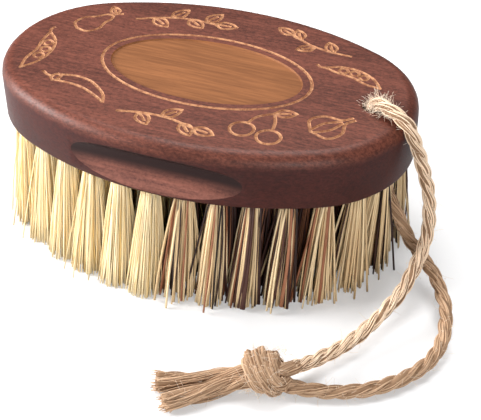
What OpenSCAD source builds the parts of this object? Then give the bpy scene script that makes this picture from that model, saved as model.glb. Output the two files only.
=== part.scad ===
// Vegetable brush: an oval wooden block, fibre tufts anchored in drilled holes, and a knotted hanging cord.
// The tips of the tufts stand on z = 0 under the middle of the block, and +X points to the cord hole.

/* [Block] */
// Length of the wooden block
block_length = 124; // [114:1:140]
// Width of the wooden block
block_width = 78; // [75:1:92]
// Thickness of the wooden block
block_thickness = 17; // [16:0.5:22]
// Radius of the round ends, seen from above
end_radius = 32; // [29:0.5:34]
// Radius of the rounded upper edge
top_edge_radius = 4; // [2:0.5:5]
// Radius of the rounded lower edge
bottom_edge_radius = 1; // [0.5:0.25:1.25]

/* [Finger grooves] */
// Height of each groove at its middle
groove_height = 12.2; // [8:0.1:12.4]
// Depth of each groove at its middle
groove_depth = 3.3; // [2:0.1:3.5]
// Wood left between a groove and the underside
groove_lip = 0.9; // [0.8:0.1:1.2]

/* [Tufts] */
// Free length of the fibres below the block
fibre_length = 31.3; // [26:0.1:38]
// Diameter of each tuft hole
hole_d = 5; // [4:0.1:5.2]
// Depth of each tuft hole, along its own axis
hole_depth = 10; // [8:0.5:12]
// Play between a tuft and its hole, on every side
hole_play = 0.1; // [0.05:0.01:0.2]
// Diameter of a tuft at its trimmed tip
tip_d = 8.4; // [6:0.1:8.5]
// Distance from the block's edge to the outer ring of holes
edge_margin = 5; // [4.5:0.1:5.5]
// Distance from one ring of holes to the next
ring_pitch = 8.8; // [8.7:0.05:9]
// Tufts in the outer ring
outer_count = 30; // [24:1:30]
// Tufts in the second ring
second_count = 20; // [16:1:21]
// Tufts in the third ring
third_count = 16; // [12:1:16]
// Tufts in the innermost ring
inner_count = 12; // [8:2:12]
// Spread of the tips along the brush, 1 for none
fan_long = 0.98; // [0.97:0.01:1.04]
// Spread of the tips across the brush, 1 for none
fan_wide = 1.22; // [1.15:0.01:1.25]
// Place along the brush where the soft fibre ends and the firm fibre begins
fibre_change = 3; // [-20:1:20]

/* [Anchors] */
// Thickness of the flat anchor wire
anchor_thickness = 0.4; // [0.3:0.05:0.5]
// Width of the flat anchor wire
anchor_width = 1.6; // [1.2:0.1:2]
// Length of wire that bites into the wood at each end
anchor_bite = 0.8; // [0.5:0.1:1]
// Depth of folded fibre between an anchor and the bottom of its hole
fold_depth = 1.4; // [1:0.1:2]

/* [Cord] */
// Diameter of the twisted cord
cord_d = 4; // [3:0.1:4.2]
// Diameter of the cord hole
cord_hole_d = 6; // [5.4:0.1:6.4]
// Width of the chamfer at both mouths of the cord hole
cord_hole_chamfer = 0.8; // [0.4:0.1:1]
// Distance from the block's end to the middle of the cord hole
cord_hole_inset = 12; // [11.5:0.1:12.5]
// Wood left between the cord hole and the nearest tuft holes
cord_hole_wall = 1.8; // [1.4:0.1:2]
// Gap between the two outer tufts that the cord passes
cord_gap = 12.4; // [12:0.1:13.4]
// How far that gap lies in front of the long middle line
cord_gap_shift = 1.6; // [1:0.1:2]
// Diameter of the knot over its fat middle turn
knot_d = 13.2; // [12:0.1:14]
// Length of the knot
knot_length = 13.6; // [12:0.1:15]

/* [Hidden] */
$fn = 96;
cord_sides = 8;
arc_steps = 24; // flat strips round each of the block's four arcs
edge_strip = 30; // turn of each flat strip round the lower edge
top_strip = 18; // turn of each flat strip round the upper edge
steep = 0.9; // share of Y above which a direction is taken as running along Y
knot_turns = 3;
side_turn_sink = 0.2; // how much lower the knot's side turns lie, as a share of a turn's radius
cut_over = 1; // how far every cutting shape runs past the face that it cuts
drill_turn = 37; // turn of each drill about its own axis, which keeps its seam off a hole's lowest point
half_length = block_length / 2;
half_width = block_width / 2;
underside_z = fibre_length;
top_z = fibre_length + block_thickness;
tuft_root_r = hole_d / 2 - hole_play;
tip_r = tip_d / 2;
cord_r = cord_d / 2;
cord_hole_x = half_length - cord_hole_inset;
groove_r = (pow(groove_height / 2, 2) + pow(groove_depth, 2)) / (2 * groove_depth);
groove_z = underside_z + groove_lip + groove_height / 2;
anchor_length = hole_d + 2 * anchor_bite;
anchor_play = hole_play / 2;
anchor_depth = hole_depth - fold_depth - anchor_width / 2;
inner_end_radius = 2; // smallest end radius of an inner ring of holes
second_gap = cord_hole_d + hole_d + 2 * cord_hole_wall; // room that the second ring leaves for the cord hole

// Rings of holes: distance from the edge, number of tufts, gap at the cord's end if there is one, its shift
RINGS = [
  [edge_margin, outer_count, cord_gap, -cord_gap_shift],
  [edge_margin + ring_pitch, second_count, second_gap, 0],
  [edge_margin + 2 * ring_pitch, third_count, 0, 0],
  [edge_margin + 3 * ring_pitch, inner_count, 0, 0]
];

// Route of the cord from the middle of its hole up, over the rim and down to the knot
over_route = [
  [50, 0, 40], [49.6, 0.2, 43.6], [49.6, 0, 46.2], [50.5, -0.7, 48.6], [52.4, -2.3, 50.4], [54.8, -4.2, 51],
  [57.3, -5.6, 50.9], [59.8, -6.6, 50.1], [62.2, -7.2, 48.1], [64, -7.1, 43.9], [65.9, -7, 39],
  [67.7, -7.1, 33.6], [69.4, -7.8, 28], [70.4, -9.2, 22.5], [70.8, -11, 18], [70.6, -14, 14.5],
  [70, -18.9, 11.6], [69, -24.8, 9], [67, -30.8, 6.8], [64.2, -37.6, 5], [60.8, -44.8, 3.8],
  [57.2, -50.6, 3.4], [53.9, -56, 4], [51.7, -60.4, 5.6], [50.1, -63.6, 6.8]
];
// Route of the cord from the middle of its hole down, between the tufts and round to the knot
under_route = [
  [50, 0, 40], [50, 0, 36], [50.2, -0.1, 32.6], [51, -0.3, 29.6], [52.6, -0.6, 26.6], [54.8, -1, 23.4],
  [57, -1.6, 20], [59.4, -2.9, 16.4], [62.6, -5.2, 12.8], [66.2, -8, 10], [70.2, -11.1, 8.4],
  [74.2, -14.8, 7.2], [77.7, -19.7, 6], [80.6, -25.2, 5], [82, -29.9, 4.2], [82.7, -34.9, 3.4],
  [82.5, -39.8, 2.8], [81, -45.3, 2.4], [77.6, -51.2, 2.2], [73.4, -56, 2.2], [67.8, -60.4, 2.2],
  [61.5, -63.4, 2.2], [55.4, -65.2, 2.3], [50, -66.2, 2.8]
];
// Routes of the two cut ends behind the knot
back_tail_route = [
  [48.4, -64.6, 6.8], [43.7, -66.1, 6.6], [39.6, -67.3, 5.4], [35.3, -68.7, 3.8], [31, -70.5, 2.7],
  [27.1, -72.5, 2.3], [22.7, -74.7, 2.2], [17.4, -77, 2.2]
];
front_tail_route = [
  [48.4, -67, 3.4], [43.7, -67.4, 4.2], [40.2, -69.1, 4], [36.3, -71.1, 3], [32.5, -73.8, 2.4],
  [29, -76.8, 2.2], [25.7, -79.7, 2.2], [22.1, -82.8, 2.2]
];
knot_middle = [44.2, -66.6];
knot_heading = 12;

// An oval of four arcs: half length, half width, end radius, side radius, both centre distances, end angle
function oval(a, b, r) =
  let (side_r = (a * a + b * b - 2 * a * r) / (2 * (b - r)), end_c = a - r, side_c = side_r - b)
  [a, b, r, side_r, end_c, side_c, atan2(side_c, end_c)];

function arc_length(radius, angle) = radius * angle * PI / 180;
function arc_angle(radius, length) = length / radius * 180 / PI;
function quarter_end(o) = arc_length(o[2], o[6]);
function full_side(o) = arc_length(o[3], 180 - 2 * o[6]);
function oval_length(o) = 4 * quarter_end(o) + 2 * full_side(o);
function arc_point(centre, radius, angle) = centre + radius * [cos(angle), sin(angle)];

// The point at a distance along an oval, from its +X end and counter-clockwise
function oval_point(o, distance) =
  let (
    all = oval_length(o),
    s = distance - all * floor(distance / all),
    e = quarter_end(o),
    f = full_side(o)
  )
  s < e ? arc_point([o[4], 0], o[2], arc_angle(o[2], s))
  : s < e + f ? arc_point([0, -o[5]], o[3], o[6] + arc_angle(o[3], s - e))
  : s < 3 * e + f ? arc_point([-o[4], 0], o[2], 180 - o[6] + arc_angle(o[2], s - e - f))
  : s < 3 * e + 2 * f ? arc_point([0, o[5]], o[3], 180 + o[6] + arc_angle(o[3], s - 3 * e - f))
  : arc_point([o[4], 0], o[2], 360 - o[6] + arc_angle(o[2], s - 3 * e - 2 * f));

function ring_oval(ring) =
  oval(half_length - ring[0], half_width - ring[0], max(end_radius - ring[0], inner_end_radius));

// The middle of hole i of a ring. A ring with a gap starts and ends at its edges, others at the +X end.
function hole_point(ring, i) =
  let (
    o = ring_oval(ring),
    gap = ring[2],
    start = gap > 0 ? ring[3] + gap / 2 : 0,
    step = gap > 0 ? (oval_length(o) - gap) / (ring[1] - 1) : oval_length(o) / ring[1]
  )
  oval_point(o, start + (i - 1) * step);

function root_of(ring, i) = let (p = hole_point(ring, i)) [p.x, p.y, underside_z];
function tip_of(ring, i) = let (p = hole_point(ring, i)) [p.x * fan_long, p.y * fan_wide, 0];

function unit(v) = v / norm(v);
function direction(route, i) = unit(route[min(i + 1, len(route) - 1)] - route[max(i - 1, 0)]);

// A sideways direction that is carried along a route without turning round it
function sideways(route, i) =
  let (d = direction(route, i))
  i == 0 ? unit(cross(abs(d.y) < steep ? [0, 1, 0] : [1, 0, 0], d))
  : let (before = sideways(route, i - 1)) unit(before - d * (before * d));

function tube_ring(route, i, radius) =
  let (side = sideways(route, i), other = cross(direction(route, i), side))
  [for (k = [0:cord_sides - 1])
    route[i] + radius * (cos(360 * k / cord_sides) * side + sin(360 * k / cord_sides) * other)];

// A closed tube through every point of a route
module tube(route, radius) {
  skin([for (i = [0:len(route) - 1]) each tube_ring(route, i, radius)], cord_sides);
}

// Outline of the block at a distance inside its edge: two end arcs and two side arcs that meet smoothly
function outline(inset) =
  let (o = oval(half_length, half_width, end_radius), turn_end = 2 * o[6], turn_side = 180 - 2 * o[6])
  [for (half = [0, 180]) each concat(
    [for (k = [0:arc_steps - 1])
      turned(arc_point([o[4], 0], o[2] - inset, turn_end * (k / arc_steps - 0.5)), half)],
    [for (k = [0:arc_steps - 1])
      turned(arc_point([0, -o[5]], o[3] - inset, o[6] + turn_side * k / arc_steps), half)]
  )];

function turned(p, angle) = [p.x * cos(angle) - p.y * sin(angle), p.x * sin(angle) + p.y * cos(angle)];

// Height and inset of each ring of the skin. The first and last lie beyond the flat faces that trim the skin.
function skin_levels() = concat(
  [[-bottom_edge_radius * (1 - cos(edge_strip)), bottom_edge_radius * (1 + sin(edge_strip))]],
  [for (a = [90 - edge_strip:-edge_strip:0]) bottom_edge_radius * [1 - sin(a), 1 - cos(a)]],
  [for (a = [0:top_strip:90 - top_strip]) [block_thickness, 0] + top_edge_radius * [sin(a) - 1, 1 - cos(a)]],
  [[block_thickness + top_edge_radius * (1 - cos(top_strip)), top_edge_radius * (1 + sin(top_strip))]]
);

// A closed skin through rings of points, with a wall of triangles between neighbouring rings
module skin(points, sides) {
  rings = len(points) / sides;
  walls = [for (i = [0:rings - 2]) each [for (k = [0:sides - 1])
    let (a = i * sides + k, b = i * sides + (k + 1) % sides)
    each [[a, b + sides, b], [a, a + sides, b + sides]]]];
  first_cap = [for (k = [0:sides - 1]) k];
  last_cap = [for (k = [sides - 1:-1:0]) (rings - 1) * sides + k];
  polyhedron(points, concat([first_cap, last_cap], walls));
}

// The oval blank, with rounded edges above and below
module blank() {
  translate([0, 0, underside_z]) intersection() {
    skin([for (level = skin_levels()) each [for (p = outline(level[1])) [p.x, p.y, level[0]]]], 4 * arc_steps);
    translate([-block_length, -block_width, 0]) cube([2 * block_length, 2 * block_width, block_thickness]);
  }
}

// Places its children at a tuft's root, with +Z up along the tuft's own slanted axis
module on_axis(root, tip) {
  d = root - tip;
  translate(root) rotate([0, acos(d.z / norm(d)), atan2(d.y, d.x)]) children();
}

module anchor_at(root, tip, play) {
  on_axis(root, tip) translate([0, 0, anchor_depth])
    cube([anchor_thickness + 2 * play, anchor_length, anchor_width + 2 * play], center = true);
}

module tuft(root, tip) {
  free = norm(root - tip);
  spare = tip_r;
  spare_r = tip_r + (tip_r - tuft_root_r) * spare / free;
  difference() {
    on_axis(root, tip) {
      cylinder(h = hole_depth - hole_play, r = tuft_root_r);
      translate([0, 0, -free - spare]) cylinder(h = free + spare, r1 = spare_r, r2 = tuft_root_r);
    }
    translate([tip.x, tip.y, -2 * tip_d]) cylinder(h = 2 * tip_d, r = 2 * tip_d);
    anchor_at(root, tip, anchor_play);
  }
}

module cord_hole() {
  mouth_r = cord_hole_d / 2 + cord_hole_chamfer;
  translate([cord_hole_x, 0, underside_z - cut_over])
    cylinder(h = block_thickness + 2 * cut_over, d = cord_hole_d);
  translate([cord_hole_x, 0, underside_z]) cylinder(h = cord_hole_chamfer, r1 = mouth_r, r2 = cord_hole_d / 2);
  translate([cord_hole_x, 0, top_z - cord_hole_chamfer])
    cylinder(h = cord_hole_chamfer, r1 = cord_hole_d / 2, r2 = mouth_r);
}

// The straight pass of a round cutter along each side, which fades out as the side curves away
module finger_grooves() {
  for (side = [-1, 1])
    translate([0, side * (half_width + groove_r - groove_depth), groove_z]) rotate([0, 90, 0])
      cylinder(h = block_length, r = groove_r, center = true);
}

module block() {
  color([0.36, 0.2, 0.16]) difference() {
    blank();
    finger_grooves();
    cord_hole();
    for (ring = RINGS) for (i = [1:ring[1]]) on_axis(root_of(ring, i), tip_of(ring, i))
      rotate([0, 0, drill_turn]) translate([0, 0, -cut_over]) cylinder(h = hole_depth + cut_over, d = hole_d);
  }
}

module anchors() {
  color("silver") for (ring = RINGS) for (i = [1:ring[1]]) anchor_at(root_of(ring, i), tip_of(ring, i), 0);
}

module ring_tuft(ring, i) {
  root = root_of(ring, i);
  color(root.x < fibre_change ? [0.93, 0.86, 0.66] : [0.6, 0.45, 0.3]) tuft(root, tip_of(ring, i));
}

module inner_tufts(soft) {
  for (ring = [RINGS[2], RINGS[3]]) for (i = [1:ring[1]])
    if ((root_of(ring, i).x < fibre_change) == soft) ring_tuft(ring, i);
}

module cord(route) {
  color([0.82, 0.64, 0.46]) tube(route, cord_r);
}

// Three turns of doubled cord drawn tight on a core
module knot() {
  turn_r = knot_length / (2 * knot_turns);
  middle_turn = knot_d / 2 - turn_r;
  side_turn = middle_turn - side_turn_sink * turn_r;
  color([0.8, 0.61, 0.44]) translate([knot_middle.x, knot_middle.y, knot_d / 2])
    rotate([0, 90, knot_heading]) rotate_extrude() {
      translate([0, -knot_length / 2]) square([middle_turn, knot_length]);
      translate([middle_turn, 0]) circle(turn_r);
      for (place = [-1, 1]) translate([side_turn, place * (knot_length / 2 - turn_r)]) circle(turn_r);
    }
}

block();
anchors();
for (i = [1:outer_count]) ring_tuft(RINGS[0], i);
for (i = [1:second_count]) ring_tuft(RINGS[1], i);
inner_tufts(true);  // inner_soft_tufts
inner_tufts(false);  // inner_firm_tufts
cord(over_route);  // cord_over_rim
cord(under_route);  // cord_under_block
knot();
cord(back_tail_route);  // back_tail
cord(front_tail_route);  // front_tail
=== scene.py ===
import math
import bpy
import bmesh
import numpy as np
from mathutils import Matrix, Vector
from mathutils.geometry import delaunay_2d_cdt


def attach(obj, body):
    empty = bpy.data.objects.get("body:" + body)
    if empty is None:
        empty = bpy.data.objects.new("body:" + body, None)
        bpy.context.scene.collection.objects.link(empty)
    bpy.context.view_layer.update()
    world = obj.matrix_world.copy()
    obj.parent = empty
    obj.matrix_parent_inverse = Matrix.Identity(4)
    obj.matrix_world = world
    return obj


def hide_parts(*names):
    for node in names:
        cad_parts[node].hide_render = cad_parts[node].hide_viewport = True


# A wooden vegetable brush on its fibre tips, with a knotted jute cord. Everything is worked out in
# millimetres and scaled to metres when a mesh is made.
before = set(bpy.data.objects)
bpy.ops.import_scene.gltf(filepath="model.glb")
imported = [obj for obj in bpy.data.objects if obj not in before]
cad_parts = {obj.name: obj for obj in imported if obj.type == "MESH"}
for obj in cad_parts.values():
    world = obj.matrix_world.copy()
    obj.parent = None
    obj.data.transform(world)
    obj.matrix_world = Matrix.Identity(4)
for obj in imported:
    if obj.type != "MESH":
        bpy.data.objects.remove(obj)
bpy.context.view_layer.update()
mm = 0.001
chance = np.random.default_rng(7)


# The camera comes first, then the cords that it has to take in.
cameraLook = {
    "place": (121.38, -275.65, 234.86),
    "elevation": 38.27,  # this and the next two in degrees
    "azimuth": 21.92,
    "roll": -0.50,
    "lens": 92.24,
    "sensor": 36,
    "clip": (0.01, 20),  # in metres
}


def makeCamera(look):
    rise, swing, roll = (math.radians(look[name]) for name in ("elevation", "azimuth", "roll"))
    data = bpy.data.cameras.new("camera")
    data.sensor_width = look["sensor"]
    data.lens = look["lens"]
    data.clip_start, data.clip_end = look["clip"]
    camera = bpy.data.objects.new("camera", data)
    bpy.context.scene.collection.objects.link(camera)
    back = Vector((math.sin(swing) * math.cos(rise), -math.cos(swing) * math.cos(rise), math.sin(rise)))
    turn = back.to_track_quat("Z", "Y").to_matrix() @ Matrix.Rotation(roll, 3, "Z")
    camera.matrix_world = Matrix.Translation(Vector(look["place"]) * mm) @ turn.to_4x4()
    bpy.context.scene.camera = camera


makeCamera(cameraLook)
print("camera placed")


# Shader maths: a Wire is one output socket, and plain arithmetic on it adds the nodes.
class Wire:
    def __init__(self, paint, socket):
        self.paint = paint
        self.socket = socket

    def sum(self, operation, first, second=0.0):
        return self.paint.node("ShaderNodeMath", {"operation": operation}, {0: first, 1: second})

    def __add__(self, other):
        return self.sum("ADD", self, other)

    def __radd__(self, other):
        return self.sum("ADD", other, self)

    def __sub__(self, other):
        return self.sum("SUBTRACT", self, other)

    def __mul__(self, other):
        return self.sum("MULTIPLY", self, other)

    def step(self, low, high):  # 0 below low, 1 above high, smooth between
        settings = {"interpolation_type": "SMOOTHSTEP"}
        return self.paint.node("ShaderNodeMapRange", settings, {0: self, 1: low, 2: high, 3: 0.0, 4: 1.0})


class Paint:
    def __init__(self, name, fixed):
        self.material = bpy.data.materials.new(name)
        self.material.use_nodes = True
        self.tree = self.material.node_tree
        self.tree.nodes.clear()
        self.shader = self.tree.nodes.new("ShaderNodeBsdfPrincipled")
        output = self.tree.nodes.new("ShaderNodeOutputMaterial")
        self.tree.links.new(self.shader.outputs[0], output.inputs[0])
        for socket, value in fixed.items():
            self.shader.inputs[socket].default_value = value

    def feed(self, socket, value):
        if isinstance(value, Wire):
            self.tree.links.new(value.socket, socket)
        elif hasattr(value, "__len__") and len(value) == 3 and socket.type == "RGBA":
            socket.default_value = (*value, 1.0)
        else:
            socket.default_value = value

    def node(self, kind, settings=None, inputs=None, output=0):
        made = self.tree.nodes.new(kind)
        for name, value in (settings or {}).items():
            setattr(made, name, value)
        for name, value in (inputs or {}).items():
            self.feed(made.inputs[name], value)
        return Wire(self, made.outputs[output])

    def place(self):  # the point on the object, in metres
        return self.node("ShaderNodeTexCoord", output="Object")

    def part(self, axis):  # one coordinate of that point
        return self.node("ShaderNodeSeparateXYZ", None, {0: self.place()}, output=axis)

    def stretch(self, scale):
        return self.node("ShaderNodeVectorMath", {"operation": "MULTIPLY"}, {0: self.place(), 1: scale})

    def noise(self, scale, detail=3.0, roughness=0.55):
        inputs = {"Vector": self.stretch(scale), "Scale": 1.0, "Detail": detail, "Roughness": roughness}
        return self.node("ShaderNodeTexNoise", {"noise_dimensions": "3D"}, inputs)

    def mix(self, factor, first, second):
        return self.node("ShaderNodeMix", {"data_type": "RGBA"}, {0: factor, 6: first, 7: second}, output=2)

    def each(self):  # another number for every separate fibre of a mesh
        return self.node("ShaderNodeNewGeometry", output="Random Per Island")

    def set(self, **wires):
        for name, wire in wires.items():
            self.feed(self.shader.inputs[name.replace("_", " ")], wire)

    def bump(self, height, distance, strength=1.0):
        inputs = {"Height": height, "Distance": distance * mm, "Strength": strength}
        self.set(Normal=self.node("ShaderNodeBump", None, inputs))


woodLook = {
    "topDark": (0.052, 0.015, 0.010),
    "topLight": (0.215, 0.066, 0.042),
    # painted shade: the sides are coloured darker than the top, for the light that falls less on them
    "sideShadeDark": (0.025, 0.005, 0.004),
    "sideShadeLight": (0.072, 0.0145, 0.0102),
    "sideShadeLevel": (43.6, 46.6),  # painted shade: the sides' darker colour gives way to the top's between these heights
    "grooveDark": (0.078, 0.024, 0.018),
    "grooveLight": (0.285, 0.104, 0.072),
    # painted shade: the colour of the groove's shaded roof and ends
    "grooveShade": (0.014, 0.003, 0.0024),
    "grooveEndShade": (11.0, 27.0, 0.5),  # painted shade: the groove darkens towards its ends, along the brush between these distances, by this share
    "roofShadeLevel": (34.6, 39.0),  # painted shade: the groove's lit floor gives way to its shaded roof between these heights
    "bareDark": (0.155, 0.055, 0.018),
    "bareLight": (0.295, 0.112, 0.040),
    "cutDark": (0.28, 0.11, 0.050),
    "cutLight": (0.50, 0.25, 0.125),
}

grain = {  # about how many waves in a metre along the brush, across it and up
    "broad": (14, 95, 95),
    "fine": (70, 1100, 1100),
    "pores": (260, 3300, 3300),
    "mottle": (900, 1500, 1500),
}


def woodGrain(paint):
    broad = paint.noise(grain["broad"], 2.0)
    fine = paint.noise(grain["fine"], 4.0, 0.6)
    pores = paint.noise(grain["pores"], 2.0, 0.6)
    return broad, fine, pores


# The block's stained wood, with painted shade on its sides.
def woodStainAndSideShade(look):
    paint = Paint("woodStainAndSideShade", {"Specular IOR Level": 0.22})
    broad, fine, pores = woodGrain(paint)
    mottle = paint.noise(grain["mottle"], 4.0, 0.75)
    tone = (broad * 0.3 + fine * 0.38 + mottle * 0.72 - 0.2).step(0.26, 0.78)
    low, high = look["sideShadeLevel"]
    # Painted shade: below these heights the sides take a darker copy of the top's colour.
    upper = paint.part("Z").step(low * mm, high * mm)
    side = paint.mix(tone, look["sideShadeDark"], look["sideShadeLight"])
    top = paint.mix(tone, look["topDark"], look["topLight"])
    dark = pores.step(0.56, 0.70) * 0.75
    paint.set(Base_Color=paint.mix(dark, paint.mix(upper, side, top), look["topDark"]))
    paint.set(Roughness=0.36 + fine * 0.2 + dark * 0.15)
    paint.bump(fine * 0.4 + mottle * 0.3 + pores * 0.5, 0.07, 0.7)
    return paint.material


# The groove's wood, with painted shade on its roof and towards its ends.
def grooveWood(look):
    paint = Paint("grooveWood", {"Specular IOR Level": 0.25})
    broad, fine, _ = woodGrain(paint)
    mottle = paint.noise(grain["mottle"], 4.0, 0.75)
    tone = broad * 0.3 + fine * 0.5 + mottle * 0.6 - 0.2
    colour = paint.mix(tone.step(0.24, 0.78), look["grooveDark"], look["grooveLight"])
    # Painted shade: the groove's roof darkens above these heights.
    low, high = look["roofShadeLevel"]
    shade = (paint.part("Z") + broad * (2 * mm) - mm).step(low * mm, high * mm)  # its edge wavers by 1 mm
    # Painted shade: the groove darkens towards its ends as well.
    middle, end, share = look["grooveEndShade"]
    along = paint.part("X")
    ends = (along * along).step((middle * mm) ** 2, (end * mm) ** 2) * share
    colour = paint.mix(ends, colour, look["grooveShade"])
    paint.set(Base_Color=paint.mix(shade, colour, look["grooveShade"]), Roughness=0.5 + fine * 0.2)
    paint.bump(fine * 0.4 + mottle * 0.4, 0.07, 0.7)
    return paint.material


def bareWood(look):
    paint = Paint("bareWood", {"Specular IOR Level": 0.2})
    broad, fine, pores = woodGrain(paint)
    tone = broad * 0.5 + fine * 0.5
    colour = paint.mix(tone.step(0.32, 0.7), look["bareDark"], look["bareLight"])
    dark = pores.step(0.58, 0.7) * 0.5
    paint.set(Base_Color=paint.mix(dark, colour, look["bareDark"]))
    paint.set(Roughness=0.55 + fine * 0.15)
    paint.bump(fine * 0.6 + pores * 0.4, 0.06, 0.7)
    return paint.material


def cutWood(look):
    paint = Paint("cutWood", {"Specular IOR Level": 0.3})
    scorch = paint.noise((700, 700, 700), 3.0, 0.7)
    colour = paint.mix(scorch.step(0.35, 0.62), look["cutDark"], look["cutLight"])
    paint.set(Base_Color=colour)
    paint.set(Roughness=0.6 + scorch * 0.2)
    return paint.material


fibreLook = {  # the two colours between which the fibres of a kind lie, and their gloss
    "soft": ((0.96, 0.81, 0.53), (0.93, 0.73, 0.40), 0.45),
    # partly the fibres' own colour, partly painted light: the warm light shining through the fibres into the
    # shaded gaps
    "amber": ((0.95, 0.70, 0.30), (0.74, 0.48, 0.17), 0.35),
    "straw": ((0.88, 0.69, 0.42), (0.60, 0.42, 0.22), 0.45),
    "rust": ((0.37, 0.155, 0.080), (0.22, 0.075, 0.030), 0.4),
    "brown": ((0.085, 0.030, 0.020), (0.018, 0.009, 0.008), 0.4),
}


def fibre(name, first, second, gloss):  # a shade between two colours for each fibre, with faint streaks
    paint = Paint(name, {"Specular IOR Level": gloss})
    streak = paint.noise((500, 500, 60), 2.0)
    tone = paint.each() * 0.7 + streak * 0.6 - 0.15
    paint.set(Base_Color=paint.mix(tone.step(0.1, 0.9), first, second))
    paint.set(Roughness=0.38 + streak * 0.25)
    return paint.material


cordLook = {  # the lit copy of the yarn, for the branch that lies in full light
    "pale": (0.98, 0.78, 0.59),
    "warm": (0.88, 0.66, 0.47),
    "dull": (0.52, 0.37, 0.25),
    "fuzz": (0.70, 0.62, 0.52),
}
coreShadeLook = {  # painted shade: a dark copy of the yarn on the plies' cores, seen between their fibres
    "pale": (0.36, 0.225, 0.135),
    "warm": (0.25, 0.145, 0.080),
    "dull": (0.10, 0.055, 0.030),
}
shadedCordLook = {  # painted shade: a darker copy of the yarn for the lower branch under the block, the knot and the cut ends
    "pale": (0.64, 0.435, 0.285),
    "warm": (0.47, 0.30, 0.185),
    "dull": (0.25, 0.15, 0.09),
}


def juteYarn(name, look):
    paint = Paint(name, {"Specular IOR Level": 0.25})
    fleck = paint.noise((900, 900, 900), 3.0, 0.65)
    patch = paint.noise((120, 120, 120), 2.0)
    tone = paint.each() * 0.55 + fleck * 0.35 + patch * 0.3 - 0.1
    colour = paint.mix(tone.step(0.15, 0.85), look["pale"], look["warm"])
    paint.set(Base_Color=paint.mix(fleck.step(0.6, 0.72) * 0.5, colour, look["dull"]))
    paint.set(Roughness=0.7 + fleck * 0.2)
    paint.bump(fleck, 0.1, 0.6)
    return paint.material


steelLook = {"dark": (0.5, 0.5, 0.49), "light": (0.68, 0.68, 0.66)}


def anchorSteel(look):
    paint = Paint("anchorSteel", {"Metallic": 1.0})
    scratch = paint.noise((2500, 2500, 300), 2.0)
    paint.set(Base_Color=paint.mix(scratch, look["dark"], look["light"]))
    paint.set(Roughness=0.3 + scratch * 0.2)
    return paint.material


def floorWhite(own, glow, fade):  # seen by the camera it shines by itself, for all other light it is plain
    fixed = {"Roughness": 0.9, "Specular IOR Level": 0.0, "Base Color": (*own, 1.0), "Emission Strength": 1.0}
    paint = Paint("studioFloor", fixed)
    away = paint.node("ShaderNodeVectorMath", {"operation": "LENGTH"}, {0: paint.place()}, output="Value")
    lit = paint.mix(away.step(*fade), glow, (1.0, 1.0, 1.0))  # the lamps don't reach far
    seen = paint.node("ShaderNodeLightPath", output="Is Camera Ray")
    paint.set(Emission_Color=paint.mix(seen, (0.0, 0.0, 0.0), lit))
    return paint.material


blockStainAndShade = woodStainAndSideShade(woodLook)
groove = grooveWood(woodLook)
bare = bareWood(woodLook)
cut = cutWood(woodLook)
fibres = [fibre(name + "Fibre", *look) for name, look in fibreLook.items()]
jute = juteYarn("juteYarn", cordLook)
shadedYarn = juteYarn("shadedJute", shadedCordLook)
coreShade = juteYarn("coreShadeJute", coreShadeLook)
fuzz = fibre("juteFuzz", cordLook["fuzz"], cordLook["pale"], 0.2)
steel = anchorSteel(steelLook)
print("materials made")


# Mesh helpers: everything thin is a bundle of tubes, swept all at once.
def unit(vectors):
    return vectors / np.maximum(np.linalg.norm(vectors, axis=-1, keepdims=True), 1e-9)


def carried(centres):  # a sideways direction for every ring, carried along without turning
    ahead = unit(np.gradient(centres, axis=1))
    start = np.zeros_like(ahead[:, 0])
    start[np.arange(len(start)), np.abs(ahead[:, 0]).argmin(1)] = 1.0
    side = unit(start - ahead[:, 0] * (start * ahead[:, 0]).sum(1, keepdims=True))
    sides = [side]
    for ring in range(1, centres.shape[1]):
        t = ahead[:, ring]
        side = unit(side - t * (side * t).sum(1, keepdims=True))
        sides.append(side)
    sides = np.stack(sides, 1)
    return ahead, sides, np.cross(ahead, sides)


def sweep(centres, radii, sides, squash=None):  # (tubes, rings, 3) and (tubes, rings) to points and quads
    tubes, rings = centres.shape[:2]
    _, u, v = carried(centres)
    turn = chance.uniform(0, 2 * math.pi, (tubes, 1, 1))
    around = np.arange(sides)[None, None] * 2 * math.pi / sides + turn
    flat = np.ones((tubes, 1, 1)) if squash is None else squash.reshape(-1, 1, 1)
    points = centres[:, :, None] + radii[:, :, None, None] * (
        np.cos(around)[..., None] * u[:, :, None] + (np.sin(around) * flat)[..., None] * v[:, :, None])
    at = np.arange(tubes * rings * sides).reshape(tubes, rings, sides)
    a, b = at[:, :-1], at[:, 1:]
    quads = np.stack([a, np.roll(a, -1, 2), np.roll(b, -1, 2), b], -1).reshape(-1, 4)
    return points.reshape(-1, 3), quads, at


def bundle(parts):  # joins sweeps into vertices, faces and a material number per face
    points, faces, kinds = [], [], []
    start = 0
    for centres, radii, sides, kind, squash in parts:
        p, q, at = sweep(centres, radii, sides, squash)
        points.append(p)
        ends = [at[:, 0, ::-1].reshape(-1, sides), at[:, -1].reshape(-1, sides)]
        for group in (q, *ends):
            faces.extend((group + start).tolist())
            kinds.append(np.repeat(np.asarray(kind), len(group) // len(at)))
        start += len(p)
    return np.concatenate(points), faces, np.concatenate(kinds)


def makePiece(name, points, faces, materials, kinds, slotName, nodes):
    mesh = bpy.data.meshes.new(name)
    mesh.from_pydata((np.asarray(points) * mm).tolist(), [], faces)
    for material in materials:
        mesh.materials.append(material)
    mesh.polygons.foreach_set("material_index", np.asarray(kinds, np.int32))
    mesh.polygons.foreach_set("use_smooth", np.ones(len(mesh.polygons), bool))
    mesh.update()
    piece = bpy.data.objects.new(name, mesh)
    bpy.context.scene.collection.objects.link(piece)
    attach(piece, "root")
    if nodes:
        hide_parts(*nodes)
    return piece


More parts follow.
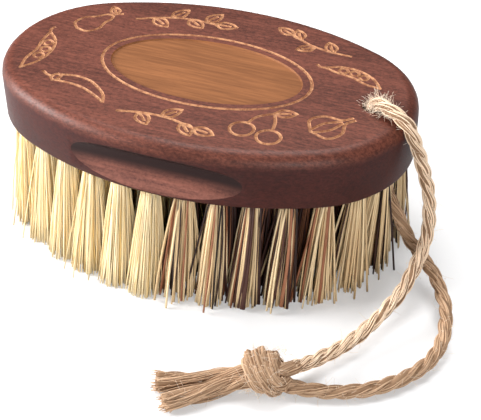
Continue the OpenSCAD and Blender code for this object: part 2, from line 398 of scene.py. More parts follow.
def spline(points, spacing):  # a smooth curve through the points, resampled at an even spacing
    p = np.asarray(points, float)
    p = np.vstack([2 * p[0] - p[1], p, 2 * p[-1] - p[-2]])
    fine = []
    for i in range(1, len(p) - 2):
        t = np.linspace(0, 1, 12, endpoint=False)[:, None]
        a, b, c, d = p[i - 1], p[i], p[i + 1], p[i + 2]
        square, cube = 2 * a - 5 * b + 4 * c - d, 3 * b - a - 3 * c + d
        fine.append(0.5 * (2 * b + (c - a) * t + square * t**2 + cube * t**3))
    fine = np.vstack([*fine, p[-2:-1]])
    run = np.concatenate([[0], np.cumsum(np.linalg.norm(np.diff(fine, axis=0), axis=1))])
    count = max(int(round(run[-1] / spacing)), 4) + 1
    at = np.linspace(0, run[-1], count)
    return np.stack([np.interp(at, run, fine[:, k]) for k in range(fine.shape[1])], 1), run[-1]


# The cord: three plies laid round each other, each one a core with fine fibres on it.
cordMake = {
    "diameter": 4.0,
    "plies": 3,
    "plyRadius": 1.18,
    "plyOffset": 0.77,
    "pitch": 15.0,
    "coreSink": 0.14,  # how far the core's skin and the fibres' middles lie inside the ply
    "fibreSink": 0.1,
    "fibresPerPly": 22,
    "fibreRadius": 0.12,
    "fibreShares": (0.7, 1.25),  # thinnest and thickest fibre, as shares of that
    "fibreStart": (0.15, 0.08),  # how unevenly the fibres start round the ply, and in and out of it
    "fibreTurn": 0.036,  # how far a fibre may wander round its ply in each millimetre
    "fibreSwing": (0.25, 3, 7),  # its waves round the ply: their size, and the shortest and longest
    "fibreRise": (0.09, 2, 5),  # the same in and out of the ply
    "fibreLoose": (0.5, 1.5, 4),  # the same to all sides, where the plies have opened
    "cutOpening": (0.68, 0.15, 0.9),  # how much wider a cut end gets, from where on, and how fast
    "cutLength": 4.0,  # the last part of a cut end, where its fibres end unevenly
    "cutUneven": (-0.9, 1.3),
    "spacing": 1.0,
    "lowest": 0.05,  # nothing goes below this height
}

hairMake = {
    "rings": 6,
    "radius": 0.045,
    "taper": (1.1, 0.6),
    "sizes": (0.4, 1.0),  # as shares of the length asked for
    "lean": 1.6,
    "scatter": 0.3,
    "curl": 0.8,
    "lowest": 0.1,
    "length": 2.4,
    "start": 1.6,  # from the cord's middle
    "atHole": (30, 0.085, 0.055),  # how much thicker they stand there, where on the way, and how widely
}

# Routes in metres, the same points as the solids have.
overRoute = [
    (0.05, 0, 0.04), (0.0496, 0.0002, 0.0436), (0.0496, 0, 0.0462), (0.0505, -0.0007, 0.0486),
    (0.0524, -0.0023, 0.0504), (0.0548, -0.0042, 0.051), (0.0573, -0.0056, 0.0509), (0.0598, -0.0066, 0.0501),
    (0.0622, -0.0072, 0.0481), (0.064, -0.0071, 0.0439), (0.0659, -0.007, 0.039), (0.0677, -0.0071, 0.0336),
    (0.0694, -0.0078, 0.028), (0.0704, -0.0092, 0.0225), (0.0708, -0.011, 0.018), (0.0706, -0.014, 0.0145),
    (0.07, -0.0189, 0.0116), (0.069, -0.0248, 0.009), (0.067, -0.0308, 0.0068), (0.0642, -0.0376, 0.005),
    (0.0608, -0.0448, 0.0038), (0.0572, -0.0506, 0.0034), (0.0539, -0.056, 0.004), (0.0517, -0.0604, 0.0056),
    (0.0501, -0.0636, 0.0068),
]
underRoute = [
    (0.05, 0, 0.04), (0.05, 0, 0.036), (0.0502, -0.0001, 0.0326), (0.051, -0.0003, 0.0296),
    (0.0526, -0.0006, 0.0266), (0.0548, -0.001, 0.0234), (0.057, -0.0016, 0.02), (0.0594, -0.0029, 0.0164),
    (0.0626, -0.0052, 0.0128), (0.0662, -0.008, 0.01), (0.0702, -0.0111, 0.0084), (0.0742, -0.0148, 0.0072),
    (0.0777, -0.0197, 0.006), (0.0806, -0.0252, 0.005), (0.082, -0.0299, 0.0042), (0.0827, -0.0349, 0.0034),
    (0.0825, -0.0398, 0.0028), (0.081, -0.0453, 0.0024), (0.0776, -0.0512, 0.0022), (0.0734, -0.056, 0.0022),
    (0.0678, -0.0604, 0.0022), (0.0615, -0.0634, 0.0022), (0.0554, -0.0652, 0.0023), (0.05, -0.0662, 0.0028),
]
backTailRoute = [
    (0.0484, -0.0646, 0.0068), (0.0437, -0.0661, 0.0066),
    (0.0396, -0.0673, 0.0054), (0.0353, -0.0687, 0.0038),
    (0.031, -0.0705, 0.0027), (0.0271, -0.0725, 0.0023), (0.0227, -0.0747, 0.0022), (0.0174, -0.077, 0.0022),
]
frontTailRoute = [
    (0.0484, -0.067, 0.0034), (0.0437, -0.0674, 0.0042), (0.0402, -0.0691, 0.004), (0.0363, -0.0711, 0.003),
    (0.0325, -0.0738, 0.0024), (0.029, -0.0768, 0.0022), (0.0257, -0.0797, 0.0022), (0.0221, -0.0828, 0.0022),
]


def ripple(along, wave, shift):
    size, short, long = wave
    return size * np.sin(along / chance.uniform(short, long) + shift)


def layPlies(path, make, phase=0.0, fray=None):
    # fray says how far the plies have opened at each ring, 1 where they are tightly laid
    rings = len(path)
    along = np.arange(rings) * make["spacing"]
    ahead, u, v = (a[0] for a in carried(path[None]))
    opened = np.ones(rings) if fray is None else fray
    turn = -2 * math.pi * np.cumsum(np.full(rings, make["spacing"]) / opened**3) / make["pitch"] + phase
    loose = (opened - 1)[:, None]
    wander = make["fibreTurn"]
    roundPly, outOfPly = make["fibreStart"]
    cores, fine = [], []
    for ply in range(make["plies"]):
        a = turn + ply * 2 * math.pi / make["plies"]
        out = np.cos(a)[:, None] * u + np.sin(a)[:, None] * v
        middle = path + make["plyOffset"] * opened[:, None] * out
        cores.append(middle)
        for k in range(make["fibresPerPly"]):
            spin = k * 2 * math.pi / make["fibresPerPly"] + chance.uniform(-roundPly, roundPly)
            b = spin + chance.uniform(-wander, wander) * along
            b = b + ripple(along, make["fibreSwing"], spin)
            r = (make["plyRadius"] - make["fibreSink"]) * opened**0.7 + chance.uniform(-outOfPly, outOfPly)
            r = r + ripple(along, make["fibreRise"], k)
            wave = ripple(along, make["fibreLoose"], k)[:, None] * chance.normal(0, 1, 3) * loose
            fine.append(middle + r[:, None] * (np.cos(b)[:, None] * u + np.sin(b)[:, None] * v) + wave)
    cores = np.stack(cores)
    fine = np.stack(fine)
    if fray is not None:
        last = np.clip(along - along[-1] + make["cutLength"], 0, None) / make["cutLength"]
        longer = chance.uniform(*make["cutUneven"], (len(fine), 1, 1))
        fine = fine + last[None, :, None] * ahead[None] * longer
    coreR = (make["plyRadius"] - make["coreSink"]) * np.ones((len(cores), 1)) * opened[None] ** 0.6
    fineR = make["fibreRadius"] * chance.uniform(*make["fibreShares"], (len(fine), 1)) * np.ones((1, rings))
    return [
        # The cores take the dark copy of the yarn: painted shade between the fibres and the plies.
        (cores, coreR, 10, np.ones(len(cores), int), None),
        (fine, fineR, 4, np.zeros(len(fine), int), None),
    ]


def strayHairs(path, count, make, length, reach, weights=None):
    ahead, u, v = (a[0] for a in carried(path[None]))
    at = chance.choice(np.arange(1, len(path) - 1), count, p=weights)
    angle = chance.uniform(0, 2 * math.pi, count)
    out = np.cos(angle)[:, None] * u[at] + np.sin(angle)[:, None] * v[at]
    t = np.linspace(0, 1, make["rings"])[None, :, None]
    size = chance.uniform(*make["sizes"], (count, 1, 1)) * length
    along = ahead[at] * chance.uniform(-make["lean"], make["lean"], (count, 1))
    lean = unit(out + along + chance.normal(0, make["scatter"], (count, 3)))
    curl = unit(chance.normal(0, 1, (count, 3)))
    start = path[at] + out * reach
    centres = start[:, None] + t * size * lean[:, None] + t**2 * size * make["curl"] * curl[:, None]
    centres[..., 2] = np.maximum(centres[..., 2], make["lowest"])
    radii = np.full((count, make["rings"]), make["radius"]) * np.linspace(*make["taper"], make["rings"])
    return [(centres, radii, 3, np.zeros(count, int), None)]


def makeHairs(name, path, count, length, reach, weights=None):
    points, faces, kinds = bundle(strayHairs(path, count, hairMake, length, reach, weights))
    return makePiece(name, points, faces, [fuzz], kinds, "jute_cord", [])


def makeCord(name, route, make, nodeName, hairs, yarn, phase=0.0, fray=None, weights=None):
    path, run = spline(np.asarray(route) / mm, make["spacing"])
    opened = None if fray is None else fray(np.linspace(0, 1, len(path)))
    points, faces, kinds = bundle(layPlies(path, make, phase, opened))
    points[:, 2] = np.maximum(points[:, 2], make["lowest"])
    # The second material, for the cores, is the dark copy of the yarn: painted shade.
    piece = makePiece(name, points, faces, [yarn, coreShade], kinds, "jute_cord", [nodeName])
    chances = None
    if weights is not None:
        chances = weights(np.linspace(0, 1, len(path))[1:-1])
        chances = chances / chances.sum()
    strays = makeHairs(name + "_stray_fibres", path, hairs, hairMake["length"], hairMake["start"], chances)


def opening(t):  # how a cut end opens from the knot to its tip
    more, start, power = cordMake["cutOpening"]
    return 1 + more * np.clip((t - start) / (1 - start), 0, 1) ** power


def mostAtHole(t):  # loose hairs stand thickest where the cord rubs on the mouth of its hole
    more, where, width = hairMake["atHole"]
    return 1 + more * np.exp(-((t - where) / width) ** 2)


makeCord("over_rim_branch", overRoute, cordMake, "cord_over_rim", 620, jute, weights=mostAtHole)
# The lower branch and the cut ends take the darker copy of the yarn: painted shade.
makeCord("under_block_branch", underRoute, cordMake, "cord_under_block", 200, shadedYarn, phase=1.0)
makeCord("back_cut_end", backTailRoute, cordMake, "back_tail", 70, shadedYarn, phase=0.4, fray=opening)
makeCord("front_cut_end", frontTailRoute, cordMake, "front_tail", 70, shadedYarn, phase=1.9, fray=opening)
print("cords laid")


# The knot: the doubled cord wound round itself and drawn tight.
knotMake = {
    "middle": (44.2, -66.6, 6.4),
    "heading": 12.0,
    "turns": 1.7,
    "start": 205.0,
    "radius": 4.2,
    "barrel": 0.05,  # how fast the radius falls off away from the middle
    "waver": (0.35, 1.3),  # how much the radius wavers, and how often in a turn
    "endRadius": 1.2,
    "endShare": 0.12,  # the share of a strand over which it dives in to that radius
    "advance": 4.0,
    "lane": 3.0,
    "lean": 1.8,
    "core": (4.4, 4.1),  # half the length and the radius of the filling that is hidden in it
    "strandPhase": 2.6,
    "runIn": (0.6, 0.35, 0.2),  # how far the cords run on straight and inward, and stop short of the middle
    "hairs": 260,
    "hairLength": 2.2,
    "hairStart": 5.6,
    "hairHalf": 5.0,
}


def knotStrand(make, strand, middle, axis, across):
    t = np.linspace(0, 1, 40)
    angle = math.radians(make["start"]) + t * make["turns"] * 2 * math.pi
    rise = np.clip(np.minimum(t, 1 - t) / make["endShare"], 0, 1)
    rise = rise * rise * (3 - 2 * rise)
    x = (0.5 - t) * make["advance"] + strand * make["lane"]
    waver, often = make["waver"]
    full = make["radius"] - make["barrel"] * x**2 + waver * np.sin(often * angle + strand)
    r = make["endRadius"] + (full - make["endRadius"]) * rise
    x = x - make["lean"] * np.cos(angle)
    up = np.array([0, 0, 1.0])
    return (middle + x[:, None] * axis
            + (r * np.cos(angle))[:, None] * up + (r * np.sin(angle))[:, None] * across)


def makeKnot(make, cordForm):
    heading = math.radians(make["heading"])
    axis = np.array([math.cos(heading), math.sin(heading), 0])
    across = np.array([-math.sin(heading), math.cos(heading), 0])
    middle = np.array(make["middle"])
    parts = []
    for strand in (-0.5, 0.5):
        path, _ = spline(knotStrand(make, strand, middle, axis, across), cordForm["spacing"])
        parts += layPlies(path, cordForm, phase=strand * make["strandPhase"])
    # the parts of the cord that are hidden in the middle
    t = np.linspace(-1, 1, 9)
    long, wide = make["core"]
    inner = middle + (t * long)[:, None] * axis
    # The hidden filling takes the dark copy too: painted shade between the wraps.
    parts.append((inner[None], (wide * np.sqrt(1.02 - t**2))[None], 12, np.ones(1, int), None))
    # the four cords run on from the ends of their routes into the knot
    straight, inward, further = make["runIn"]
    for route, way in ((overRoute, 1), (underRoute, 1), (backTailRoute, -1), (frontTailRoute, -1)):
        end, before = (route[-1], route[-2]) if way > 0 else (route[0], route[1])
        end, before = np.array(end) / mm, np.array(before) / mm
        inner = end + straight * (end - before) + inward * (middle - end)
        last = middle * (1 - further) + inner * further
        path, _ = spline([before * 0.4 + end * 0.6, end, inner, last], cordForm["spacing"])
        parts += layPlies(path, cordForm, phase=1.0)
    points, faces, kinds = bundle(parts)
    points[:, 2] = np.maximum(points[:, 2], cordForm["lowest"])
    # The knot takes the darker copy of the yarn too: painted shade.
    makePiece("knot_wraps", points, faces, [shadedYarn, coreShade], kinds, "jute_cord", ["knot"])
    line = middle + np.linspace(-make["hairHalf"], make["hairHalf"], 24)[:, None] * axis
    makeHairs("knot_stray_fibres", line, make["hairs"], make["hairLength"], make["hairStart"])


makeKnot(knotMake, cordMake)
print("knot tied")


# The tufts, laid out as the holes are: four rings that follow the block's oval.
tuftMake = {
    "blockHalf": (62.0, 39.0),
    "endRadius": 32.0,
    "underside": 31.3,
    "rings": [  # inset, tufts, gap at the cord's end, its shift
        (5.0, 30, 12.4, -1.6),
        (13.8, 20, 14.6, 0.0),
        (22.6, 16, 0.0, 0.0),
        (31.4, 12, 0.0, 0.0),
    ],
    "smallestEnd": 2.0,  # end radius of an inner ring
    "spread": (0.98, 1.22),
    "inside": 1.5,  # how far the fibres reach up into their hole
    "rootRadius": 2.1,
    "opening": 0.9,  # below 1 a tuft opens faster near the block
    "turned": 0.2,  # how far a fibre turns round its tuft on its way down
    "outward": (0.9, 0.07, 1.06),  # how its place at the tip follows from its root: power, scatter and most
    "astrayReach": 1.45,  # how far a fibre that leans out of its tuft goes
    "softUpTo": 3.0,  # soft tufts up to this place along the brush
    "soft": {
        "rings": 5,
        "tip": 5.6,
        "astray": 0.015,  # the share of fibres that lean out
        "fibres": 300,
        "radius": (0.16, 0.26),
        "taper": (0.9, 1.05),
        "bow": 0.35,
        "uneven": 0.3,
        "pale": (0.97, 0.35, 0.1, 0.1),  # the share of pale fibres in each ring; the others take the warm colour, partly their own and partly painted light shining through into the gaps
    },
    "firm": {
        "rings": 6,
        "tip": 5.0,
        "astray": 0.08,
        "fibres": 84,
        "radius": (0.21, 0.40),
        "bow": 0.5,
        "uneven": 0.6,
        "straw": (0.82, 0.25, 0.04, 0.04),  # the same for straw, the others are rust and brown
    },
    "strip": {  # a wide flat fibre among the firm ones
        "rings": 6,
        "tip": 5.0,
        "astray": 0.0,
        "count": (1, 4),
        "radius": (0.5, 0.85),
        "taper": (0.8, 1.1),
        "bow": 0.3,
        "uneven": 0.5,
        "flat": (0.35, 0.6),
    },
    "darker": (8.0, 42.0, 3, 0.2),  # from and to along the brush, strips more and share of straw less
}


def ovalShape(a, b, r):
    side = (a * a + b * b - 2 * a * r) / (2 * (b - r))
    return a - r, r, side - b, side, math.atan2(side - b, a - r)


def ovalPoint(shape, s):
    endC, r, sideC, side, turn = shape
    e = r * turn
    f = side * (math.pi - 2 * turn)
    s = s % (4 * e + 2 * f)
    steps = [
        (e, endC, 0, r, 0, 0),
        (e + f, 0, -sideC, side, turn, e),
        (3 * e + f, -endC, 0, r, math.pi - turn, e + f),
        (3 * e + 2 * f, 0, sideC, side, math.pi + turn, 3 * e + f),
        (4 * e + 2 * f, endC, 0, r, 2 * math.pi - turn, 3 * e + 2 * f),
    ]
    for limit, cx, cy, radius, start, before in steps:
        if s <= limit:
            a = start + (s - before) / radius
            return cx + radius * math.cos(a), cy + radius * math.sin(a)


def ringPlaces(make, ring):
    inset, count, gap, shift = make["rings"][ring]
    a, b = make["blockHalf"]
    shape = ovalShape(a - inset, b - inset, max(make["endRadius"] - inset, make["smallestEnd"]))
    whole = 4 * shape[1] * shape[4] + 2 * shape[3] * (math.pi - 2 * shape[4])
    start = shift + gap / 2 if gap else 0.0
    step = (whole - gap) / (count - 1) if gap else whole / count
    return [ovalPoint(shape, start + i * step) for i in range(count)]


def fibrePaths(make, root, count, form):
    top = np.array([root[0], root[1], make["underside"]])
    tip = np.array([root[0] * make["spread"][0], root[1] * make["spread"][1], 0.0])
    axis = (top - tip) / np.linalg.norm(top - tip)
    begin = top + axis * make["inside"]
    u = unit(np.cross([0, 1, 0], axis))
    v = np.cross(axis, u)
    angle = chance.uniform(0, 2 * math.pi, count)
    out = np.sqrt(chance.uniform(0, 1, count))
    turned = angle + chance.normal(0, make["turned"], count)
    atRoot = make["rootRadius"] * out
    power, scatter, most = make["outward"]
    atTip = form["tip"] * np.clip(out**power + chance.normal(0, scatter, count), 0, most)
    leaning = chance.uniform(0, 1, count) < form["astray"]
    atTip = np.where(leaning, make["astrayReach"] * form["tip"], atTip)
    start = begin + atRoot[:, None] * (np.cos(angle)[:, None] * u + np.sin(angle)[:, None] * v)
    end = tip + atTip[:, None] * np.stack([np.cos(turned), np.sin(turned), np.zeros(count)], 1)
    end[:, 2] = np.abs(chance.normal(0, form["uneven"], count))
    t = np.linspace(0, 1, form["rings"])[None, :, None]
    way = t ** make["opening"]
    mid = start[:, None] + (end - start)[:, None] * way
    mid[..., 2] = start[:, None, 2] + (end - start)[:, None, 2] * t[..., 0]
    mid[..., :2] += ((tip - begin) * (t - way))[..., :2]  # the tuft's own middle stays straight
    bow = unit(chance.normal(0, 1, (count, 3)) * [1, 1, 0]) * chance.normal(0, form["bow"], (count, 1))
    return mid + bow[:, None] * np.sin(math.pi * t), out


softKind, gapLightKind, strawKind, rustKind, brownKind = range(len(fibres))
darkKinds = [rustKind, brownKind, brownKind]


def softTuft(make, root, ring):
    form = make["soft"]
    count = form["fibres"]
    centres, out = fibrePaths(make, root, count, form)
    radii = chance.uniform(*form["radius"], (count, 1)) * np.linspace(*form["taper"], form["rings"])
    # Painted light: fibres in the inner rings and near a tuft's middle take the warm colour more often,
    # partly their own colour and partly the light shining through the fibres into the gaps.
    share = form["pale"][ring] * (0.6 + 0.4 * out)
    kinds = np.where(chance.uniform(0, 1, count) < share, softKind, gapLightKind)
    return [(centres, radii, 3, kinds, None)]


def firmTuft(make, root, ring):
    form, wideForm = make["firm"], make["strip"]
    count = form["fibres"]
    centres, _ = fibrePaths(make, root, count, form)
    radii = chance.uniform(*form["radius"], (count, 1)) * np.ones(form["rings"])
    straw = form["straw"][ring]
    strips = int(chance.integers(*wideForm["count"]))
    start, end, more, less = make["darker"]
    if start < root[0] < end:
        strips += more
        straw -= less
    kinds = np.where(chance.uniform(0, 1, count) < straw, strawKind, chance.choice(darkKinds, count))
    wide, _ = fibrePaths(make, root, strips, wideForm)
    taper = np.linspace(*wideForm["taper"], wideForm["rings"])
    wideR = chance.uniform(*wideForm["radius"], (strips, 1)) * taper
    flat = chance.uniform(*wideForm["flat"], strips)
    return [
        (centres, radii, 4, kinds, None),
        (wide, wideR, 6, chance.choice(darkKinds, strips), flat),
    ]


def tuftParts(make, root, ring):
    return softTuft(make, root, ring) if root[0] < make["softUpTo"] else firmTuft(make, root, ring)


def makeTuftPiece(name, parts, kind, nodeName):
    points, faces, kinds = bundle(parts)
    makePiece(name, points, faces, fibres, kinds, kind + "_fibre", [nodeName])


def makeTufts(make):
    for ring, name in ((0, "outer"), (1, "second")):
        for i, root in enumerate(ringPlaces(make, ring), 1):
            node = f"{name}_tuft_{i}"
            kind = "soft" if root[0] < make["softUpTo"] else "firm"
            makeTuftPiece(node + "_fibres", tuftParts(make, root, ring), kind, node)
    inner = ringPlaces(make, 2) + ringPlaces(make, 3)
    for kind in ("soft", "firm"):
        chosen = [p for p in inner if (p[0] < make["softUpTo"]) == (kind == "soft")]
        parts = [part for p in chosen for part in tuftParts(make, p, 2)]
        makeTuftPiece(f"inner_{kind}_fibres", parts, kind, f"inner_{kind}_tufts")


makeTufts(tuftMake)
print("tufts filled")


# The block keeps the solid's own skin, and its flat top is cut again with a shallow carved ornament.
carving = {
    "lineWidth": 0.95,
    "lineFloor": 0.4,
    "lineDepth": 0.35,
    "panelHalf": (29.0, 15.5),
    "panelDepth": 0.45,
    "panelWall": 0.3,
    "panelRing": (2.6, 2.4),  # how far the line round the panel lies outside it, along and across
    "panelSteps": 96,
    "ringSteps": 72,
    "strokeSpacing": 0.6,
    "sharpFrom": 32.0,  # degrees
    "grooveReach": (42.99, 38.3, 7.33),  # the grooves' middle, across and up, and just over their radius
}


def bend(points):
    return spline(points, carving["strokeSpacing"])[0]


def turnTo(points, place, angle, size=1.0):
    a = math.radians(angle)
    spin = np.array([[math.cos(a), math.sin(a)], [-math.sin(a), math.cos(a)]])
    return np.asarray(points) * size @ spin + np.asarray(place)


def ring2d(rx, ry, steps=20):
    a = np.linspace(0, 2 * math.pi, steps + 1)
    return np.stack([rx * np.cos(a), ry * np.sin(a)], 1)


def leaf(length, width):
    upper = bend([(0, 0), (length * 0.35, width / 2), (length * 0.75, width * 0.36), (length, 0)])
    lower = bend([(0, 0), (length * 0.35, -width / 2), (length * 0.75, -width * 0.36), (length, 0)])
    vein = bend([(0, 0), (length * 0.35, 0.1), (length * 0.7, 0)])
    return [upper, lower, vein]


def sprig(count):
    stem = bend([(0, 0), (9, 1.6), (18, 1.2), (27, -1.5)])
    lines = [stem]
    for i in range(count):
        at = stem[int((i + 1) * (len(stem) - 1) / (count + 0.6))]
        side = 1 if i % 2 else -1
        lines += [turnTo(line, at, side * 48) for line in leaf(7.5, 4.2)]
    lines += [turnTo(line, stem[-1], -12) for line in leaf(7.5, 4.2)]
    return lines


def peaPod():
    upper = bend([(0, 0), (6, 4.6), (14, 6.0), (22, 3.8), (28, -1)])
    lower = bend([(0, 0), (7, -0.6), (14, -0.2), (21, -1.6), (28, -1)])
    peas = [turnTo(ring2d(1.9, 1.9, 12), p, 0) for p in ((8, 2.3), (13, 3.1), (18, 2.4))]
    return [upper, lower, bend([(0, 0), (-2, -0.6), (-4, 0.2)]), *peas]


def cherries():
    fruit = [turnTo(ring2d(4.4, 4.2), p, 0) for p in ((0, 0), (10.5, -1.5))]
    stems = [bend([(0.6, 4.2), (2.5, 9), (7.5, 13)]), bend([(10.4, 2.8), (9.6, 8), (7.5, 13)])]
    return fruit + stems + [turnTo(line, (7.5, 13), 18) for line in leaf(8, 4.4)]


def pear():
    left = bend([(0, 10), (-2.2, 8), (-3.2, 4), (-5.6, -0.5), (-4.4, -5.6), (0, -7.4)])
    right = bend([(0, 10), (2.2, 8), (3.2, 4), (5.6, -0.5), (4.4, -5.6), (0, -7.4)])
    stalk = bend([(0, 10), (0.4, 12), (1.6, 13.6)])
    return [left, right, stalk] + [turnTo(line, (0.3, 11.6), 160) for line in leaf(6.5, 3.6)]


def chilli():
    upper = bend([(0, 1.6), (6, 2.8), (12, 1.4), (18, -3.4), (20, -7.5)])
    lower = bend([(0, -1.6), (6, -1.6), (11, -2.6), (16, -5.0), (20, -7.5)])
    cap = bend([(0, 1.9), (1.7, 0.9), (1.0, 0), (1.7, -0.9), (0, -1.9)])
    capBack = bend([(0, 1.9), (-1.5, 0), (0, -1.9)])
    return [upper, lower, cap, capBack, bend([(-0.8, 0), (-3, 0.4), (-5, 1.8)])]


def garlic():
    left = bend([(-0.7, 9), (-1.2, 5.5), (-5.2, 2), (-5.4, -3), (0, -5.6)])
    right = bend([(0.7, 9), (1.2, 5.5), (5.2, 2), (5.4, -3), (0, -5.6)])
    return [left, right, bend([(-0.5, 5), (-1.9, 0), (-0.8, -5)]), bend([(0.5, 5), (1.9, 0), (0.8, -5)])]


motifs = [  # drawing, place, turn, size
    (sprig(4), (-31, 19.8), 16, 0.90),
    (sprig(3), (36.5, 22.0), 167, 0.76),
    (peaPod(), (-51.8, 3.4), -84, 0.74),
    (pear(), (-42.6, 13.0), -32, 0.74),
    (chilli(), (-38.5, -18.4), 0, 0.92),
    (sprig(3), (-14.5, -27.6), 2, 0.84),
    (cherries(), (20.5, -23.6), 0, 0.76),
    (garlic(), (41.5, -14.6), -44, 0.90),
    (peaPod(), (31.5, 13.6), -14, 0.66),
]


def strokes(make):
    lines = []
    for drawing, place, angle, size in motifs:
        lines += [turnTo(line, place, angle, size) for line in drawing]
    long, wide = np.add(make["panelHalf"], make["panelRing"])
    lines.append(ring2d(long, wide, make["ringSteps"]))
    return lines


def outlineOf(line, half):
    ahead = unit(np.gradient(line, axis=0))
    closed = np.linalg.norm(line[0] - line[-1]) < 1e-6
    if closed:
        ahead[0] = ahead[-1] = unit(line[1] - line[-2])
    else:
        line = line.copy()
        line[0] -= ahead[0] * half * 0.7
        line[-1] += ahead[-1] * half * 0.7
    across = np.stack([-ahead[:, 1], ahead[:, 0]], 1) * half
    left, right = line + across, line - across
    if closed:
        return [left[:-1], right[:-1]]
    return [np.vstack([left, right[::-1]])]


def distanceTo(points, lines):
    starts = np.vstack([line[:-1] for line in lines])
    ends = np.vstack([line[1:] for line in lines])
    way = ends - starts
    size = np.maximum((way**2).sum(1), 1e-12)
    best = np.full(len(points), 1e9)
    batch = 2000
    for i in range(0, len(points), batch):
        p = points[i:i + batch, None] - starts[None]
        t = np.clip((p * way).sum(2) / size, 0, 1)
        best[i:i + batch] = np.linalg.norm(p - t[..., None] * way, axis=2).min(1)
    return best


def panelDepthAt(points, make):
    a, b = make["panelHalf"]
    level = np.sqrt((points[:, 0] / a) ** 2 + (points[:, 1] / b) ** 2)
    grade = np.sqrt((points[:, 0] / a**2) ** 2 + (points[:, 1] / b**2) ** 2) / np.maximum(level, 1e-6)
    return (1 - level) / np.maximum(grade, 1e-6)  # about the distance inside the panel's edge


def carvedTop(make, rimLoops, top, holeAt, holeRadius):
    lines = strokes(make)
    half, floor = make["lineWidth"] / 2, make["lineFloor"] / 2
    a, b = make["panelHalf"]
    w = make["panelWall"]
    loops = list(rimLoops)
    for line in lines:
        loops += outlineOf(line, half) + outlineOf(line, floor)
    loops += [ring2d(a - inset, b - inset, make["panelSteps"])[:-1] for inset in (0, w)]
    points = np.vstack(loops)
    edges = []
    start = 0
    for loop in loops:
        edges += [(start + i, start + (i + 1) % len(loop)) for i in range(len(loop))]
        start += len(loop)
    flat = [Vector(p) for p in points]
    verts, _, faces, _, _, _ = delaunay_2d_cdt(flat, edges, [], 1, 1e-5)
    verts = np.array([tuple(p) for p in verts])
    faces = np.array(faces)
    middle = verts[faces].mean(1)
    keep = np.linalg.norm(middle - np.asarray(holeAt), axis=1) > holeRadius * 0.97
    faces, middle = faces[keep], middle[keep]
    line = make["lineDepth"] * np.clip((half - distanceTo(verts, lines)) / (half - floor), 0, 1)
    panel = make["panelDepth"] * np.clip(panelDepthAt(verts, make) / w, 0, 1)
    depth = np.maximum(line, panel)
    depth[np.linalg.norm(verts - np.asarray(holeAt), axis=1) < holeRadius * 1.01] = 0
    kinds = np.zeros(len(faces), int)
    kinds[panelDepthAt(middle, make) > 0] = 1
    kinds[distanceTo(middle, lines) < half * 0.98] = 2
    return np.column_stack([verts, top - depth]), faces, kinds


def loopsOf(bm):
    edges = {e for e in bm.edges if len(e.link_faces) == 1}
    loops = []
    while edges:
        edge = edges.pop()
        chain = [edge.verts[0], edge.verts[1]]
        while True:
            follow = next((e for e in chain[-1].link_edges if e in edges), None)
            if follow is None:
                break
            edges.remove(follow)
            chain.append(follow.other_vert(chain[-1]))
        loops.append(chain[:-1] if chain[0] == chain[-1] else chain)
    return loops


def makeBlock(make):
    bm = bmesh.new()
    bm.from_mesh(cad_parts["block"].data)
    bmesh.ops.remove_doubles(bm, verts=bm.verts, dist=1e-7)
    top = max(v.co.z for v in bm.verts)
    flat = [f for f in bm.faces if all(abs(v.co.z - top) < 1e-6 for v in f.verts)]
    bmesh.ops.delete(bm, geom=flat, context="FACES")
    rims = [np.array([(v.co.x, v.co.y) for v in loop]) / mm for loop in loopsOf(bm)]
    holeRim = min(rims, key=lambda r: np.ptp(r[:, 0]))
    holeAt = (holeRim.min(0) + holeRim.max(0)) / 2
    holeRadius = np.ptp(holeRim[:, 0]) / 2
    points, faces, kinds = carvedTop(make, rims, top / mm, holeAt, holeRadius)
    made = [bm.verts.new(Vector(p) * mm) for p in points]
    topFaces = []
    for face, kind in zip(faces.tolist(), kinds.tolist()):
        try:
            f = bm.faces.new([made[i] for i in face])
        except ValueError:
            continue
        f.material_index = int(kind)
        topFaces.append(f)
    bmesh.ops.remove_doubles(bm, verts=bm.verts, dist=1e-6)
    bmesh.ops.recalc_face_normals(bm, faces=bm.faces)
    for f in topFaces:
        if f.is_valid and f.normal.z < 0:
            f.normal_flip()
    reach = make["grooveReach"]
    for f in bm.faces:
        if all(math.hypot(abs(v.co.y) / mm - reach[0], v.co.z / mm - reach[1]) < reach[2] for v in f.verts):
            f.material_index = 3
    mesh = bpy.data.meshes.new("carved_block")
    bm.to_mesh(mesh)
    bm.free()
    for material in (blockStainAndShade, bare, cut, groove):
        mesh.materials.append(material)
    mesh.polygons.foreach_set("use_smooth", np.ones(len(mesh.polygons), bool))
    shadeBlock(mesh, top, make["sharpFrom"])
    piece = bpy.data.objects.new("carved_block", mesh)
    bpy.context.scene.collection.objects.link(piece)
    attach(piece, "root")
    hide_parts("block")


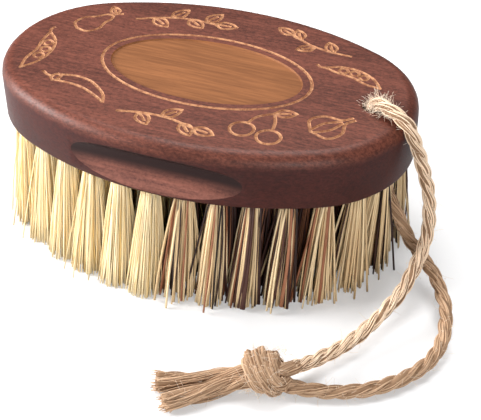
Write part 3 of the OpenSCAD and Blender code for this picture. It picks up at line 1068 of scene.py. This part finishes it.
def shadeBlock(mesh, top, sharpFrom):
    # Each corner takes the mean of the faces round it that turn less than sharpFrom, by their angle there.
    # Next to the flat top it takes the top's own direction, so that the rounded edge runs into it.
    co = np.empty(len(mesh.vertices) * 3)
    mesh.vertices.foreach_get("co", co)
    co = co.reshape(-1, 3)
    corners = np.empty(len(mesh.loops), int)
    mesh.loops.foreach_get("vertex_index", corners)
    starts = np.array([face.loop_start for face in mesh.polygons])
    sizes = np.array([face.loop_total for face in mesh.polygons])
    faceOf = np.repeat(np.arange(len(starts)), sizes)
    first = np.repeat(starts, sizes)
    place = np.arange(len(corners)) - first
    size = np.repeat(sizes, sizes)
    here = co[corners]
    after = unit(co[corners[first + (place + 1) % size]] - here)
    before = unit(co[corners[first + (place - 1) % size]] - here)
    share = np.arccos(np.clip((after * before).sum(1), -1, 1))
    own = np.array([tuple(face.normal) for face in mesh.polygons])[faceOf]
    near = math.cos(math.radians(sharpFrom))
    order = np.argsort(corners, kind="stable")
    cuts = np.flatnonzero(np.diff(corners[order])) + 1
    normals = np.empty_like(own)
    for group in np.split(order, cuts):
        n = own[group]
        alike = (n @ n.T > near) * share[group][None]
        normals[group] = unit(alike @ n)
    onTop = here[:, 2] > top - 1e-6
    normals[onTop & (own[:, 2] > 0.8)] = (0, 0, 1)
    mesh.normals_split_custom_set(normals.tolist())


makeBlock(carving)
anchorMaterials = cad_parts["anchors"].data.materials  # the anchors are seen as the solids have them
anchorMaterials.clear()
anchorMaterials.append(steel)
print("block carved")


# A pale floor and soft studio light.
studio = {
    "floor": (0.66, 0.66, 0.665),
    "floorGlow": (0.30, 0.30, 0.30),
    "floorFade": (0.2, 0.6),  # it turns to plain white between these distances, in metres
    "floorHalf": 3.0,
    "world": 0.14,
    "key": {"place": (-600, -230, 250), "aim": (0, 0, 20), "size": (300, 260), "power": 8.6},
    "top": {"place": (-60, 170, 560), "aim": (0, 0, 20), "size": (380, 320), "power": 3.6},
    "front": {"place": (330, -520, 230), "aim": (20, 0, 15), "size": (300, 260), "power": 2.3},
}


def areaLamp(name, form):
    data = bpy.data.lights.new(name, "AREA")
    data.shape = "RECTANGLE"
    data.size = form["size"][0] * mm
    data.size_y = form["size"][1] * mm
    data.energy = form["power"]
    lamp = bpy.data.objects.new(name, data)
    lamp.location = Vector(form["place"]) * mm
    way = Vector(form["aim"]) - Vector(form["place"])
    lamp.rotation_euler = way.to_track_quat("-Z", "Y").to_euler()
    bpy.context.scene.collection.objects.link(lamp)


def plane(name, corners, material):
    mesh = bpy.data.meshes.new(name)
    mesh.from_pydata(corners, [], [(0, 1, 2, 3)])
    mesh.materials.append(material)
    piece = bpy.data.objects.new(name, mesh)
    bpy.context.scene.collection.objects.link(piece)


def makeStudio(form):
    white = floorWhite(form["floor"], form["floorGlow"], form["floorFade"])
    far = form["floorHalf"]
    plane("studio_floor", [(-far, -far, 0), (far, -far, 0), (far, far, 0), (-far, far, 0)], white)
    world = bpy.data.worlds.new("studio")
    world.use_nodes = True
    nodes, links = world.node_tree.nodes, world.node_tree.links
    shade = nodes["Background"]
    seen = nodes.new("ShaderNodeBackground")  # the white backdrop, for the camera alone
    shade.inputs["Strength"].default_value = form["world"]
    seen.inputs["Strength"].default_value = 1.0
    blend = nodes.new("ShaderNodeMixShader")
    links.new(nodes.new("ShaderNodeLightPath").outputs["Is Camera Ray"], blend.inputs[0])
    for slot, background in ((1, shade), (2, seen)):
        background.inputs["Color"].default_value = (1, 1, 1, 1)
        links.new(background.outputs[0], blend.inputs[slot])
    links.new(blend.outputs[0], nodes["World Output"].inputs[0])
    bpy.context.scene.world = world
    for name in ("key", "top", "front"):
        areaLamp(name + "Light", form[name])
    bpy.context.scene.view_settings.view_transform = "Standard"


makeStudio(studio)
print("studio lit")
